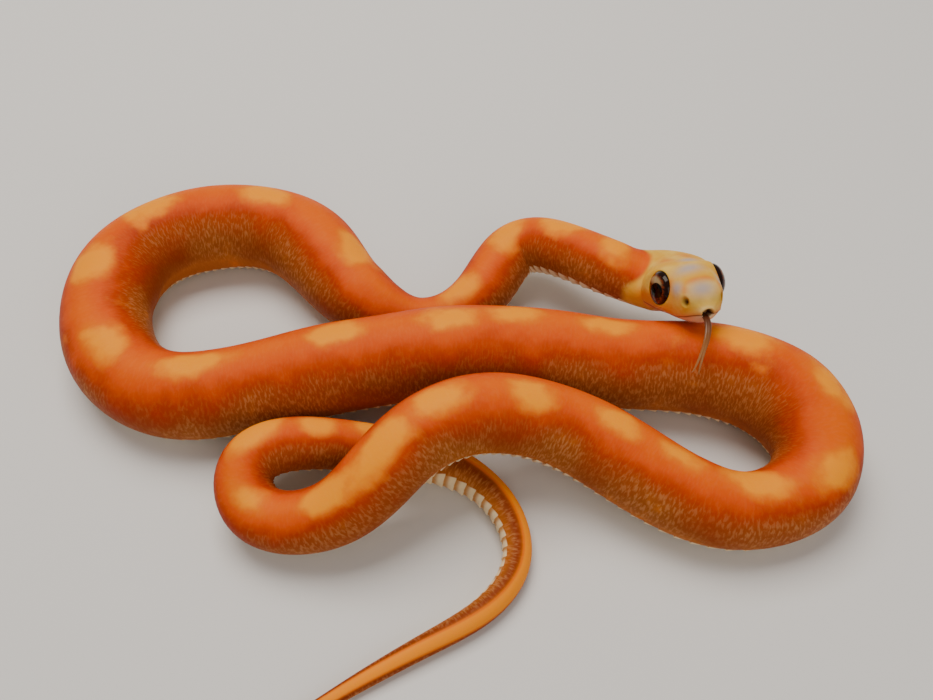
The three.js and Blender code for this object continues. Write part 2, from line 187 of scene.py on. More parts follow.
# %% Head profiles
HEAD_FORM = np.array([
    # place behind the eyes, half width, top and throat, all in mm
    [-4.9, 1.85, 0.9, 2.25], [-4.2, 2.1, 1.45, 2.6], [-3.2, 2.45, 2.0, 2.9], [-1.8, 2.85, 2.6, 3.2],
    [0, 3.25, 2.85, 3.4], [2.4, 3.75, 2.65, 3.45], [5.0, 4.05, 2.3, 3.3], [7.2, 3.8, 2.05, 3.1],
    [9.6, 3.4, 2.45, 3.05], [12, 3.34, 3.3, 3.0],
])
MOUTH_LINE = [
    [-6.5, 1.4], [-4.9, 1.5], [-3.4, 1.95], [-1.5, 2.4], [0, 2.5], [1.5, 2.45], [3, 2.2], [4.8, 1.75],
]
SNOUT_TIP = -5.1
SNOUT_ROUNDING = 1.9
SNOUT_BLUNTNESS = 2.5
MOUTH_CORNER = 4.8
HEAD_END = 9.4
HEAD_SQUARENESS = 2.25
LIP_HEIGHT = 0.14  # how far the lips swell out
LIP_SPREAD = 0.34
LIP_ABOVE = 0.05  # the middle of that swelling, above the mouth line
GROOVE_DEPTH = 0.17  # the line where the lips meet
GROOVE_SPREAD = 0.075
JAW_TUCK = 0.14  # the lower jaw closes this far inside the upper lip
JAW_TUCK_OVER = 0.12
TEMPLE_HEIGHT = 0.24  # the swelling over the jaw muscles
TEMPLE_PLACE = 2.6
TEMPLE_REACH = 2.4
TEMPLE_FROM_BACK = 50  # degrees
TEMPLE_SPREAD = 26


def step_up(value, low, high):
    """A soft step from 0 at low to 1 at high: three squares less two cubes of the share of the way."""
    t = np.clip((value - low) / (high - low), 0, 1)
    return t * t * (3 - 2 * t)


def bump(value, width):
    """A bell of height 1 and the given half width."""
    return np.exp(-((value / width) ** 2))


def signed_power(value, exponent):
    return np.sign(value) * np.abs(value) ** exponent


def closing(place):
    """How far the sections have closed in on the tip of the snout: a superellipse from 0 to 1."""
    to_tip = np.clip(1 - (place - SNOUT_TIP) / SNOUT_ROUNDING, 0, 1)
    return (1 - to_tip**SNOUT_BLUNTNESS) ** (1 / SNOUT_BLUNTNESS)


def section_exponent(place):
    return 2 / (HEAD_SQUARENESS + (2 - HEAD_SQUARENESS) * step_up(place, MOUTH_CORNER, HEAD_END))


def head_section(place, angle):
    """Right and back of the head's skin: superellipse arcs of the top's and the throat's heights, closed in
    on the snout's tip, with a bell-shaped lip along the mouth, a narrow groove where the lips meet, and a
    swelling over the jaw muscles at the temples."""
    width, top, throat = (smooth(HEAD_FORM[:, [0, k]], place) for k in (1, 2, 3))
    mouth = smooth(MOUTH_LINE, place)
    close = closing(place)
    exponent = section_exponent(place)
    tall = np.where(np.cos(angle) > 0, top, throat)
    back = -mouth + (tall * signed_power(np.cos(angle), exponent) + mouth) * close
    from_mouth = back + mouth
    fade = 1 - step_up(place, MOUTH_CORNER - 1, MOUTH_CORNER + 1)
    lip = LIP_HEIGHT * bump(from_mouth - LIP_ABOVE, LIP_SPREAD)
    groove = GROOVE_DEPTH * bump(from_mouth, GROOVE_SPREAD)
    tucked = JAW_TUCK * step_up(-from_mouth, 0.0, JAW_TUCK_OVER)
    wide = width + fade * (lip - groove - tucked)
    swell = TEMPLE_HEIGHT * bump(place - TEMPLE_PLACE, TEMPLE_REACH)
    swell = swell * bump(np.degrees(np.abs(angle)) - TEMPLE_FROM_BACK, TEMPLE_SPREAD)
    right = wide * close * signed_power(np.sin(angle), exponent) + swell * np.sin(angle)
    return right, back + swell * np.cos(angle)


def mouth_angle(place):
    """The angle from the back at which the section meets the lips."""
    throat = smooth(HEAD_FORM[:, [0, 3]], place)
    ratio = np.clip(smooth(MOUTH_LINE, place) / throat, 0, 0.98)
    return math.pi - np.arccos(ratio ** (1 / section_exponent(place)))


print("head length:", round(MOUTH_CORNER - SNOUT_TIP + 2, 1), "mm")

# %% [markdown]
# ## The body's section and its belly plates
# Behind the head the section is a circle with a flat belly, like a loaf. Each belly plate, or scute, overlaps
# the next like a roof tile, so the belly is a saw: it rises slowly and drops at each rear edge. Four rings to
# a scute carry that saw, which is why the rings aren't evenly spaced.

# %% Body section
SCUTE_BODY = 1.35  # mm from one belly plate to the next
SCUTE_TAIL = 0.85  # the same at the tail's tip
SCUTE_STEP = 0.2  # mm that each rear edge stands over the next plate
VENT = 268.0  # where the trunk ends and the tail begins
SCUTE_BAND = (122, 134)  # the side edge of the belly plates, in degrees from the back
RING_PHASES = np.array([0.0, 0.3, 0.62, 0.93])


def scute_edges():
    """The places of the belly plates: each next one is a pitch further on, and the pitch shrinks with the
    girth of the tail."""
    edges = [HEAD_END]
    while edges[-1] < BODY_END - SCUTE_TAIL:
        taper = float(step_up(edges[-1], VENT, BODY_END))
        edges.append(edges[-1] + SCUTE_BODY + (SCUTE_TAIL - SCUTE_BODY) * taper)
    return np.array(edges)


def body_section(place, angle, phase):
    """Right and back of the body's skin: a circle cut flat at the belly, and inset by the saw under the
    belly plates, most just behind each plate's rear edge."""
    radius = smooth(GIRTH, place)
    from_back = np.degrees(np.abs(angle))
    band = step_up(from_back, *SCUTE_BAND)
    depth = SCUTE_STEP * np.minimum(1, radius / 2) * band * np.clip(1 - phase / RING_PHASES[-1], 0, 1) ** 0.8
    right = (radius - depth) * np.sin(angle)
    back = np.maximum(radius * np.cos(angle), -BELLY_FLAT * radius) + depth
    return right, back, depth


EDGES = scute_edges()
print("belly plates:", len(EDGES))

# %% [markdown]
# ## Folds
# Where the body bends, the skin on the inner side is too long for its place and folds across. A few sine
# waves of nearly one length, added with random phases, make folds that come and go as real ones do.

# %% Folds in the skin
FOLD_LENGTH = 1.45  # mm from one fold to the next
FOLD_HEIGHT = 0.085
FOLD_MEAN = 0.6  # the waves' usual size, taken off so that the body keeps its girth
FOLD_SEED = 11
FLANK_MIDDLE = 88  # degrees from the back
FLANK_SPREAD = 42
TURN_SPAN = 1.5  # mm to each side over which a bend is measured
MUSCLE_LENGTH = 13
MUSCLE_DEPTH = 0.05
MUSCLE_MEAN = 0.08
MUSCLE_SEED = 5


def waves(place, across, length, seed, count=7):
    """A sum of sine waves along the body whose lengths are spread by a third and which lean a little
    across it, divided by the root of their number."""
    rng = np.random.default_rng(seed)
    total = 0
    for _ in range(count):
        own = length * rng.uniform(0.8, 1.3)
        lean = rng.uniform(-0.25, 0.25)
        total = total + np.sin(2 * math.pi * (place / own + lean * across / own) + rng.uniform(0, 6.3))
    return total / math.sqrt(count)


def turn_to_right(place):
    """How sharply the body turns to its own right, in radians per mm."""
    _, before, _, _ = frames(place - TURN_SPAN)
    _, after, _, _ = frames(place + TURN_SPAN)
    _, _, right, _ = frames(place)
    return np.sum((before - after) * right, -1) / (2 * TURN_SPAN)


def fold_depth(place, angle, turn):
    """Inward depth of the folds: waves, strongest on the flank that the body bends towards."""
    radius = smooth(GIRTH, place)
    inner = np.clip(turn * np.sin(angle) * radius, 0, 1)
    flank = bump(np.degrees(np.abs(angle)) - FLANK_MIDDLE, FLANK_SPREAD)
    strength = flank * (0.12 + 0.88 * step_up(inner, 0.12, 0.6)) * step_up(place, 7, 13)
    ridges = np.abs(waves(place, radius * angle, FOLD_LENGTH, FOLD_SEED)) - FOLD_MEAN
    return FOLD_HEIGHT * np.minimum(1, radius / 4) * strength * ridges


def muscle_hollows(place, angle):
    """Inward depth of the slow hollows between the muscles: waves about a mean depth, so that nothing
    swells past the solids."""
    trunk = step_up(place, 12, 30) * (1 - step_up(place, 240, 290))
    return (MUSCLE_MEAN - MUSCLE_DEPTH * waves(place, 3 * np.cos(angle), MUSCLE_LENGTH, MUSCLE_SEED)) * trunk


# %% [markdown]
# ## The skin as one surface
# One surface covers the whole animal, so that no seam shows: a grid of places along the body and of angles
# round it. The head needs finer cells than the body, so it has twice as many points round each ring, and
# one band of triangles joins the two grids.

# %% Grid of the skin
HEAD_AROUND = 144
BODY_AROUND = 72
HEAD_UPPER = 50  # of the 72 cells on one side of the head, those above the lips
CROWD_ABOVE = 0.225 / math.pi  # how strongly the cells above and below are drawn to the lips
CROWD_BELOW = 0.07
HEAD_STEP = 0.115  # mm between rings of the head
SNOUT_RINGS = 26
SNOUT_CROWDING = 1.9
FIRST_RING = 0.012  # mm from the tip of the snout


def head_angles(place):
    """Angles of a head ring from the belly round to the belly: evenly spaced above the lips and below
    them, drawn together at the lips, and even all round at the neck."""
    half = HEAD_AROUND // 2
    k = np.arange(half + 1)
    above = k <= HEAD_UPPER
    lips = mouth_angle(place)[:, None]
    t = np.where(above, k / HEAD_UPPER, (k - HEAD_UPPER) / (half - HEAD_UPPER))
    tight = t + np.where(above, CROWD_ABOVE, -CROWD_BELOW) * np.sin(math.pi * t)
    own = np.where(above, lips * tight, lips + (math.pi - lips) * tight)
    even = math.pi * k / half
    blend = step_up(place, MOUTH_CORNER - 0.5, HEAD_END - 0.3)[:, None]
    one_side = own + (even - own) * blend
    return np.concatenate([one_side, -one_side[:, half - 1:0:-1]], 1)


def head_stations():
    """Places of the head's rings: crowded at the snout's tip by nearly the square of the way, then even."""
    way = np.linspace(0, 1, SNOUT_RINGS) ** SNOUT_CROWDING
    first = SNOUT_TIP + FIRST_RING + (SNOUT_ROUNDING - FIRST_RING) * way
    rest = np.arange(first[-1] + HEAD_STEP, HEAD_END - 0.05, HEAD_STEP)
    return np.concatenate([first, rest])


def body_stations():
    """Places and scute phases of the body's rings, four to a belly plate."""
    pitch = np.diff(EDGES)
    place = (EDGES[:-1, None] + pitch[:, None] * RING_PHASES).ravel()
    phase = np.tile(RING_PHASES, len(pitch))
    return place, phase


head_place = head_stations()
head_angle = head_angles(head_place)
body_place, body_phase = body_stations()
body_half = BODY_AROUND // 2
body_turns = np.concatenate([np.arange(body_half + 1), np.arange(1 - body_half, 0)])
body_angle = np.broadcast_to(body_turns * 2 * math.pi / BODY_AROUND, (len(body_place), BODY_AROUND))
print("rings:", len(head_place), "on the head,", len(body_place), "on the body")

# %% [markdown]
# ## Eyes, nostrils and the tongue's notch
# A snake has no eyelids: a clear cap lies over each eye, and the skin ends in a tight ring round it. So the
# skin dips under the eye and comes up to a rim, and the cells nearby are drawn on to it to keep it crisp.

# %% Openings in the head
EYE_RADIUS = 1.85
EYE_HALF_DEPTH = 1.15
EYE_PLACE = np.array([0.0, 2.9, 0.35])  # ahead of the eyes' line, out to the side, above the axis
EYE_LOOKS = (8, 6)  # degrees ahead and up from straight out
RIM_BLEND = 0.75  # mm over which the skin comes up to the rim
RIM_GRIP = 0.72  # how firmly, and over what distance, the cells are drawn on to the rim
RIM_GRIP_REACH = 0.4
RIM_LIP = 0.06
RIM_LIP_OUT = 0.15
RIM_LIP_SPREAD = 0.11
SOCKET_REACH = 3.1
SOCKET_DEPTH = 1.1
SOCKET_WALL = 0.22
NOSTRIL = np.array([3.95, 1.8, -0.15])
NOSTRIL_RADIUS = 0.42
NOSTRIL_DEPTH = 0.42
NOSTRIL_RIM = 0.06
NOTCH_HALF_WIDTH = 0.62
NOTCH_HALF_HEIGHT = 0.5
NOTCH_DEPTH = 0.95
NOTCH_RIM = 0.11
EYES_POINT, EYES_AHEAD, EYES_RIGHT, EYES_UP = (v[0] for v in frames(np.array([0.0])))
HEAD_AXES = np.stack([EYES_AHEAD, EYES_RIGHT, EYES_UP])


def to_head(points):
    """Millimetres ahead of the eyes, to the snake's right and above the axis."""
    return (points - EYES_POINT) @ HEAD_AXES.T


def from_head(places):
    return places @ HEAD_AXES + EYES_POINT


def eye_axis(side):
    """The way an eye looks: straight out to its side, turned ahead and up."""
    ahead, up = np.radians(EYE_LOOKS)
    return np.array([math.sin(ahead) * math.cos(up), side * math.cos(ahead) * math.cos(up), math.sin(up)])


def eye_rim(flat, away):
    """The rim's height along the eye's axis and its radius: a tilted ring on the dome, lower ahead and above
    because the snout narrows there."""
    height = 0.26 - 0.24 * flat[:, 2] / away - 0.1 * flat[:, 0] / away
    return height, EYE_RADIUS * np.sqrt(1 - (height / EYE_HALF_DEPTH) ** 2) - 0.03


def around_eye(places, side):
    """The eye's axis, and for each place its height along that axis, its offset square to it and how far
    that is from the axis."""
    axis = eye_axis(side)
    offset = places - EYE_PLACE * [1, side, 1]
    height = offset @ axis
    flat = offset - height[:, None] * axis
    return axis, height, flat, np.linalg.norm(flat, axis=1) + 1e-9


def seat_eye(places, side):
    """Draws the skin near an eye on to its rim: the rim lies on the dome where the skin would meet it, the
    distance from the eye's axis is squeezed towards the rim's radius, and inside it the skin dives under."""
    axis, height, flat, away = around_eye(places, side)
    near = (away < SOCKET_REACH) & (height > -1.6)
    rim_height, rim = eye_rim(flat, away)
    pulled = rim + (away - rim) * (1 - RIM_GRIP * bump(away - rim, RIM_GRIP_REACH))
    level = 1 - step_up(pulled - rim, 0.05, RIM_BLEND)
    lip = RIM_LIP * bump(pulled - rim - RIM_LIP_OUT, RIM_LIP_SPREAD)
    outside = height + (rim_height - height) * level + lip
    inside = rim_height - SOCKET_DEPTH * (1 - step_up(pulled - rim, -SOCKET_WALL, 0.0))
    new_height = np.where(pulled >= rim, outside, np.minimum(inside, outside))
    moved = EYE_PLACE * [1, side, 1] + flat * (pulled / away)[:, None] + new_height[:, None] * axis
    return np.where(near[:, None], moved, places)


def open_nostril(places, side):
    """A round pit with a low rim: the depth is a bell of the distance from the nostril's own point."""
    centre = places[np.argmin(np.linalg.norm(places - NOSTRIL * [1, side, 1], axis=1))]
    inward = -unit(np.array([0.55, side * 0.8, 0.25]))
    away = np.linalg.norm((places - centre) * [1, 1, 0.8], axis=1)
    depth = NOSTRIL_DEPTH * bump(away, NOSTRIL_RADIUS * 0.8) - NOSTRIL_RIM * bump(away - 0.5, 0.16)
    return places + depth[:, None] * inward, bump(away, NOSTRIL_RADIUS * 0.85)


def open_notch(places):
    """The arch in the upper lip through which the tongue leaves: the skin is pushed back inside an
    ellipse on the front of the snout."""
    low = -smooth(MOUTH_LINE, SNOUT_TIP)
    away = np.hypot(places[:, 1] / NOTCH_HALF_WIDTH, (places[:, 2] - low - 0.1) / NOTCH_HALF_HEIGHT)
    front = step_up(places[:, 0], 4.0, 4.5)
    inside = (1 - step_up(away, 0.62, 1.0)) * front
    rim = NOTCH_RIM * bump(away - 1.2, 0.2) * front * (places[:, 2] > low)
    moved = places.copy()
    moved[:, 0] += rim - NOTCH_DEPTH * inside
    return moved, inside


# %% [markdown]
# ## Putting the skin together
# Every ring is worked out at once. Besides the points we keep, for each, its place along the body, its angle
# from the back and a few masks, because the colours follow the body and not the room.

# %% Points of the skin
def ring_points(place, right, back, least_height):
    """Points in space from each ring's frame; nothing lies below the floor or the inset of the saw."""
    point, _, to_right, to_back = (v[:, None, :] for v in frames(place))
    points = point + right[..., None] * to_right + back[..., None] * to_back
    points[..., 2] = np.maximum(points[..., 2], least_height)
    return points


def blended_rings(place, angle, phase):
    """The head's section up to the jaw, the body's section from the neck on, and a soft change between."""
    column = place[:, None]
    head_right, head_back = head_section(column, angle)
    body_right, body_back, depth = body_section(column, angle, phase[:, None])
    neck = step_up(column, 7.0, 12.0)
    right = head_right + (body_right - head_right) * neck
    back = head_back + (body_back - head_back) * neck
    turn = turn_to_right(place)[:, None]
    inward = fold_depth(column, angle, turn) + muscle_hollows(column, angle)
    shrink = np.where(np.cos(angle) > -0.6, 1 - inward / np.maximum(np.hypot(right, back), 0.3), 1)
    return ring_points(place, right * shrink, back * shrink, depth * neck)


head_points = blended_rings(head_place, head_angle, np.ones(len(head_place)))
body_points = blended_rings(body_place, body_angle, body_phase)
places_in_head = to_head(head_points.reshape(-1, 3))
for side in (1, -1):
    places_in_head = seat_eye(places_in_head, side)
nostril_mask = 0
for side in (1, -1):
    places_in_head, one_mask = open_nostril(places_in_head, side)
    nostril_mask = nostril_mask + one_mask
places_in_head, notch_mask = open_notch(places_in_head)
head_points = from_head(places_in_head).reshape(head_points.shape)
print("points:", head_points.shape[0] * HEAD_AROUND + body_points.shape[0] * BODY_AROUND)

# %% Faces of the skin
def ring_faces(rings, around, first):
    """Four-sided faces between neighbouring rings of a closed grid."""
    i = np.arange(rings - 1)[:, None] * around
    k = np.arange(around)[None, :]
    after = (k + 1) % around
    quads = np.stack([i + k, i + after, i + around + after, i + around + k], -1)
    return quads.reshape(-1, 4) + first


def joining_faces(head_first, body_first):
    """Three triangles between each pair of body points and the three head points that face them."""
    k = np.arange(BODY_AROUND)
    a = head_first + 2 * k
    b = head_first + 2 * k + 1
    c = head_first + (2 * k + 2) % HEAD_AROUND
    near = body_first + k
    far = body_first + (k + 1) % BODY_AROUND
    return np.concatenate([np.stack(t, -1) for t in ((a, b, near), (b, far, near), (b, c, far))])


def end_faces(hub, first, around, turned):
    """A fan of triangles from a hub to the ring that starts at the point first, turned for a front end."""
    k = np.arange(around)
    a = first + k
    b = first + (k + 1) % around
    return np.stack([np.full(around, hub), b, a] if turned else [np.full(around, hub), a, b], -1)


def closed_tube(rings, around):
    """Faces of a grid of rings and of a fan at each end, whose hubs are the two points after the rings."""
    hub = rings * around
    fans = [end_faces(hub, 0, around, True), end_faces(hub + 1, hub - around, around, False)]
    return ring_faces(rings, around, 0), np.concatenate(fans)


head_count = head_points.shape[0] * HEAD_AROUND
body_count = body_points.shape[0] * BODY_AROUND
snout = head_points[0].mean(0, keepdims=True)
tail = body_points[-1].mean(0, keepdims=True)
skin_points = np.concatenate([head_points.reshape(-1, 3), body_points.reshape(-1, 3), snout, tail])
skin_quads = np.concatenate([
    ring_faces(head_points.shape[0], HEAD_AROUND, 0),
    ring_faces(body_points.shape[0], BODY_AROUND, head_count),
])
skin_triangles = np.concatenate([
    joining_faces(head_count - HEAD_AROUND, head_count),
    end_faces(head_count + body_count, 0, HEAD_AROUND, True),
    end_faces(head_count + body_count + 1, head_count + body_count - BODY_AROUND, BODY_AROUND, False),
])
print("triangles:", 2 * len(skin_quads) + len(skin_triangles))

# %% [markdown]
# ## Making a mesh
# `foreach_set` takes whole arrays, which is hundreds of times quicker than adding vertices one by one.
# Each piece keeps its place in its mesh, so its object stays at the origin.

# %% Mesh maker
def make_piece(name, points, polygons):
    """A mesh object from points in millimetres and a list of polygon arrays, one for each corner count."""
    mesh = bpy.data.meshes.new(name)
    mesh.vertices.add(len(points))
    mesh.vertices.foreach_set("co", (points * MM).astype(np.float32).ravel())
    corners = np.concatenate([p.ravel() for p in polygons])
    sizes = np.concatenate([np.full(len(p), p.shape[1]) for p in polygons])
    mesh.loops.add(len(corners))
    mesh.loops.foreach_set("vertex_index", corners.astype(np.int32))
    mesh.polygons.add(len(sizes))
    mesh.polygons.foreach_set("loop_start", np.r_[0, np.cumsum(sizes)[:-1]].astype(np.int32))
    mesh.update(calc_edges=True)
    mesh.polygons.foreach_set("use_smooth", np.ones(len(sizes), bool))
    mesh.validate()
    piece = bpy.data.objects.new(name, mesh)
    bpy.context.scene.collection.objects.link(piece)
    return piece


def keep(piece, **masks):
    """Stores for each mask one number, or three, on each point of a piece, for its material to read."""
    for name, values in masks.items():
        values = np.asarray(values, np.float32)
        kind, key = ("FLOAT_VECTOR", "vector") if values.ndim == 2 else ("FLOAT", "value")
        piece.data.attributes.new(name, kind, "POINT").data.foreach_set(key, values.ravel())


# The rings run backwards from the snout, so their faces are turned round to point outwards.
skin = make_piece("skin", skin_points, [skin_quads[:, ::-1], skin_triangles[:, ::-1]])
print("skin:", len(skin.data.polygons), "faces")

# %% [markdown]
# ## Markings
# The snake is orange with about thirty yellow blotches down its back, a deeper red between and beside them,
# a duller flank and a cream belly. Each blotch is a soft spot with a place, a length and a width. The masks
# are kept on the points, and the material mixes its colours by them.

# %% Masks along the body
BLOTCHES = np.array([
    # place behind the eyes, half length, half width, shift to the snake's right, all in mm
    [11.2, 2.3, 2.3, -0.2], [17.6, 2.6, 2.2, -0.3], [24.5, 2.6, 2.4, 0.3], [33.5, 3.0, 1.9, -0.6],
    [51.0, 3.2, 2.5, -1.4], [63.5, 3.0, 2.3, 0.8], [76.0, 3.0, 2.4, 0.6], [86.0, 2.6, 2.5, 0.8],
    [97.0, 2.8, 2.3, 0.2], [108.5, 4.6, 1.7, 0.3], [124.0, 2.8, 2.1, 0.2], [135.0, 2.8, 2.2, -0.4],
    [142.5, 2.8, 2.0, 0.6], [151.5, 3.4, 1.7, 0.2], [165.5, 2.8, 2.3, 0.2], [174.0, 2.4, 2.6, 1.0],
    [181.5, 2.4, 2.2, 1.0], [190.0, 3.6, 1.9, -0.7], [198.5, 3.0, 1.7, -0.4], [205.5, 2.8, 2.0, 0.0],
    [214.5, 2.3, 2.3, 0.7], [222.5, 2.5, 2.1, 0.4], [229.0, 3.6, 1.9, 0.6], [235.5, 3.0, 1.5, 0.1],
    [245.0, 2.8, 1.7, 0.0], [251.5, 2.0, 1.7, 0.4], [256.8, 1.6, 1.4, -0.2], [262.0, 1.8, 1.6, 0.1],
])
STRIPE_FROM = VENT  # behind this the blotches run together into one stripe
SPOT_FADE = (0.1, 1.75)  # a blotch is full up to the first and gone at the second, in its own half sizes
# The skin and its markings turn a little round the body where it twists, to the snake's right, in degrees.
MARKS_TURN = [
    [0, 0], [40, 0], [50, -14], [63, -20], [76, -24], [88, -16], [101, -4], [113, 0], [154, 0], [166, 6],
    [176, 14], [184, 8], [194, 0], [208, 4], [216, 8], [226, 0], [266, 0],
]


def spots(place, across):
    """The strongest of all blotches at each point: a bell with a flat top of its distance."""
    mask = np.zeros_like(place)
    for centre, long, wide, shift in BLOTCHES:
        away = np.hypot((place - centre) / long, (across - shift) / wide)
        mask = np.maximum(mask, 1 - step_up(away, *SPOT_FADE))
    return mask


all_place = np.concatenate([
    np.repeat(head_place, HEAD_AROUND), np.repeat(body_place, BODY_AROUND), [SNOUT_TIP, BODY_END]])
all_angle = np.concatenate([head_angle.ravel(), body_angle.ravel(), [math.pi / 2, 0]])
all_phase = np.concatenate([np.ones(head_count), np.repeat(body_phase, BODY_AROUND), [1, 1]])
all_girth = smooth(GIRTH, all_place)
turned = all_angle - np.radians(smooth(MARKS_TURN, all_place))
all_round = np.abs((turned + math.pi) % (2 * math.pi) - math.pi)
across_back = turned * all_girth
skin_head = to_head(skin_points)
on_tail = step_up(all_place, STRIPE_FROM - 4, STRIPE_FROM + 4)
# The cream of the belly reaches higher up the sides on the neck, in the big loop and behind the vent.
tail_cream = 0.15 * on_tail * (1 - step_up(all_place, 290, 302))
neck_cream = 0.08 * step_up(all_place, 6, 10) * (1 - step_up(all_place, 30, 40))
loop_cream = 0.04 * bump(all_place - 66, 16)
keep(
    skin,
    from_back=all_round / math.pi,
    from_top=np.abs(all_angle) / math.pi + tail_cream + neck_cream + loop_cream,
    blotch=spots(all_place, across_back) * step_up(all_place, 7.5, 9.5),
    stripe=on_tail * (1 - step_up(all_round, 0.3, 0.85)),
    tail_edge=0.95 * on_tail * bump(all_round - 1.05, 0.36),
    scute_phase=all_phase,
    tailward=all_place / BODY_END,
    lie=np.column_stack([all_place, np.abs(across_back), np.zeros_like(all_place)]),
)
print("blotches:", len(BLOTCHES))

# %% [markdown]
# ## Colour on the head
# The head has its own colours: pale yellow, with lilac-grey patches where the skin on the skull is thinnest,
# amber by the eyes and at the back of the jaw, and pink lips. Each patch is a bell in the head's own
# directions, mirrored to both sides where the snake's own marks are.

# %% Masks on the head
HEAD_BEHIND = 6.3  # mm behind the eyes on the crown
HEAD_CHEEK = 2.5  # and this much further on the cheeks
PATCHES = {
    # name: [ahead of the eyes, to the side, above the axis, reach ahead, reach aside, reach up, both sides]
    "lilac": [
        [4.2, 0.2, 1.1, 0.85, 1.5, 0.9, False], [2.75, 2.35, 1.0, 0.75, 0.6, 0.8, True],
        [1.5, 0.5, 2.5, 0.9, 1.5, 1.2, False], [-0.8, -0.4, 2.6, 0.8, 0.9, 1.0, False],
    ],
    "amber": [
        [3.3, 0.6, 1.85, 0.35, 1.5, 0.7, True], [1.75, 2.75, 1.2, 0.42, 0.5, 1.5, True],
        [3.5, 1.85, 0.9, 0.5, 0.3, 0.8, True], [-2.7, 4.1, -0.95, 1.6, 1.0, 0.9, True],
        [-3.2, 1.2, 2.4, 1.6, 0.7, 1.0, True],
    ],
    "olive": [[-4.8, 3.3, 1.5, 1.5, 1.0, 0.9, True], [4.6, 1.0, 0.0, 0.6, 0.9, 0.5, True]],
    "pale": [[4.9, 0.15, -0.9, 0.6, 0.85, 0.3, False]],
}


def patch_mask(places, patches):
    """The strongest of a few bells, each with its own reach ahead, aside and up."""
    mask = np.zeros(len(places))
    for ahead, aside, up, far, wide, tall, both in patches:
        sideways = np.abs(places[:, 1]) if both else places[:, 1]
        away = ((places[:, 0] - ahead) / far) ** 2
        away = away + ((sideways - aside) / wide) ** 2 + ((places[:, 2] - up) / tall) ** 2
        mask = np.maximum(mask, np.exp(-away))
    return mask


off_back = np.abs(all_angle)
head_edge = HEAD_BEHIND + HEAD_CHEEK * step_up(off_back, 0.0, 1.4) * (1 - 0.4 * step_up(off_back, 1.9, 2.5))
on_head = 1 - step_up(all_place - head_edge, -1.4, 1.6)
keep(skin, on_head=on_head, **{name: patch_mask(skin_head, p) * on_head for name, p in PATCHES.items()})
mouth_height = skin_head[:, 2] + smooth(MOUTH_LINE, all_place)
lip_mask = bump(mouth_height + 0.1, 0.5) * (1 - step_up(all_place, MOUTH_CORNER - 1, MOUTH_CORNER + 1.5))
# Painted shade: the slit where the lips meet is darkened.
slit_shade_mask = bump(mouth_height, 0.07) * (1 - step_up(all_place, MOUTH_CORNER - 0.6, MOUTH_CORNER + 0.4))
# Painted shade: the nostrils and the tongue's notch are darkened inside.
pit_shade_mask = np.zeros(len(skin_points))
pit_shade_mask[:head_count] = np.clip(nostril_mask + notch_mask, 0, 1)
# Painted shade: the crevice where the skin dives under each eye's rim is darkened.
rim_shade_mask = np.zeros(len(skin_points))
for side in (1, -1):
    _, _, flat, away = around_eye(skin_head, side)
    own_side = (skin_head[:, 1] * side > 0) & (all_place < 4)
    rim_shade_mask += own_side * (1 - step_up(away - eye_rim(flat, away)[1], 0.02, 0.12))
# The dark mask is painted shade in the nostrils, the notch, the mouth's slit and round the eyes.
keep(skin, lips=lip_mask, dark=np.clip(pit_shade_mask + 0.75 * slit_shade_mask + 0.9 * rim_shade_mask, 0, 1))
print("head masks:", ", ".join(PATCHES) + ", lips, dark")

# %% [markdown]
# ## Materials
# A material is a small net of nodes. Colours are given as sRGB hex, as a painter would pick them, and one
# function turns them to the linear values that Blender mixes. One more adds a node with its settings and
# links. Three more are a painter's: how far a coat covers, one coat over another, a border that wanders.

# %% Material helpers
TIMES = {"operation": "MULTIPLY"}
TIMES_PLUS = {"operation": "MULTIPLY_ADD"}


def linear(colour):
    """sRGB hex to linear red, green, blue and alpha: a power of 2.4 above a short straight foot."""
    parts = [int(colour[k:k + 2], 16) / 255 for k in (0, 2, 4)]
    return tuple(p / 12.92 if p <= 0.04045 else ((p + 0.055) / 1.055) ** 2.4 for p in parts) + (1.0,)


def add_node(tree, kind, settings=None, out=0, **inputs):
    """Adds a node and gives back one of its outputs, by number or name. Settings are its own properties;
    inputs are values, hex colours or outputs to link, by socket name with spaces as underscores, or by
    number as in_0, in_1."""
    node = tree.nodes.new("ShaderNode" + kind)
    for key, value in (settings or {}).items():
        setattr(node, key, value)
    for key, value in inputs.items():
        socket = node.inputs[int(key[3:]) if key.startswith("in_") else key.replace("_", " ")]
        if isinstance(value, bpy.types.NodeSocket):
            tree.links.new(value, socket)
        else:
            socket.default_value = linear(value) if isinstance(value, str) else value
    return node.outputs[out] if node.outputs else None


def new_material(name):
    material = bpy.data.materials.new(name)
    material.use_nodes = True
    material.node_tree.nodes.clear()
    return material, material.node_tree


def cover(tree, *steps, strength=1.0):
    """How far a coat covers, from 0 to 1: its strength times each step. A step is a value as it is, or
    (value, low, high), which rises softly from low to high, or falls where low is the higher level."""
    share = strength
    for step in steps:
        if isinstance(step, tuple):
            value, low, high = step
            soft = {"interpolation_type": "SMOOTHSTEP"}
            step = add_node(tree, "MapRange", soft, Value=value, From_Min=low, From_Max=high)
        share = add_node(tree, "Math", TIMES, in_0=share, in_1=step)
    return share


def coat(tree, under, over, *steps, strength=1.0):
    """One colour over another, each a hex colour or a socket, as far as the steps and the strength cover."""
    share = cover(tree, *steps, strength=strength)
    return add_node(tree, "Mix", {"data_type": "RGBA"}, 2, in_0=share, in_6=under, in_7=over)


def wandering(tree, value, *drifts):
    """A value whose borders wander: to it is added each noise, less its middle, times its reach."""
    for noise, reach in drifts:
        about = add_node(tree, "Math", {"operation": "SUBTRACT"}, in_0=noise, in_1=0.5)
        value = add_node(tree, "Math", TIMES_PLUS, in_0=about, in_1=reach, in_2=value)
    return value


